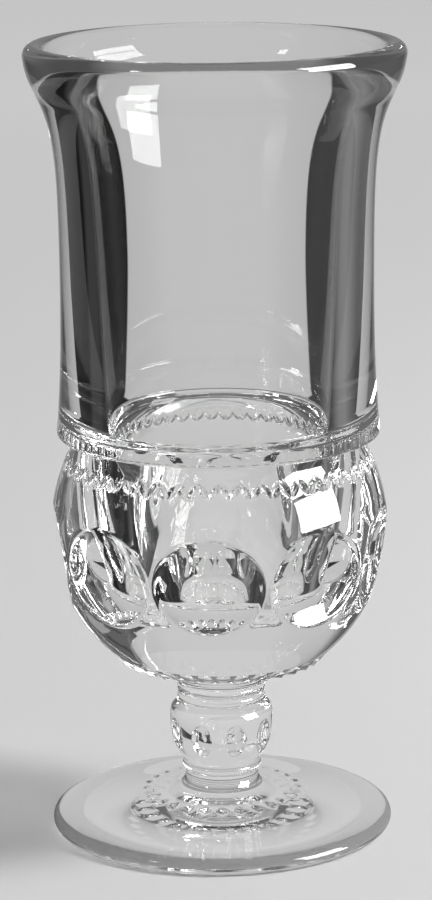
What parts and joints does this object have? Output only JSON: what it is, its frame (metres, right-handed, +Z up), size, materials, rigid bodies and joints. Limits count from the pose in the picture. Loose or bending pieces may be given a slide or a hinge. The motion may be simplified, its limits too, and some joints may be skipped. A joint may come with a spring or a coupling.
{
  "type": "iced tea glass",
  "caption": "Footed drinking glass in clear pressed glass: flared plain cup, ball-shaped lower bowl with a row of dished thumbprints, knopped stem and round foot.",
  "frame": {"origin": "middle of the foot's underside, on the table", "axes": "+Z up along the glass's axis of turning, -Y towards the viewer, with one thumbprint facing almost straight to the front"},
  "size_m": [0.0832, 0.0834, 0.1768],
  "materials": {
    "clear_glass": "clear, fire-polished"
  },
  "bodies": {
    "root": {"flared_cup": "clear_glass", "thumbprint_bulb": "clear_glass", "neck_collar": "clear_glass", "stem_knop": "clear_glass", "base_ring": "clear_glass", "foot": "clear_glass"}
  },
  "joints": []
}
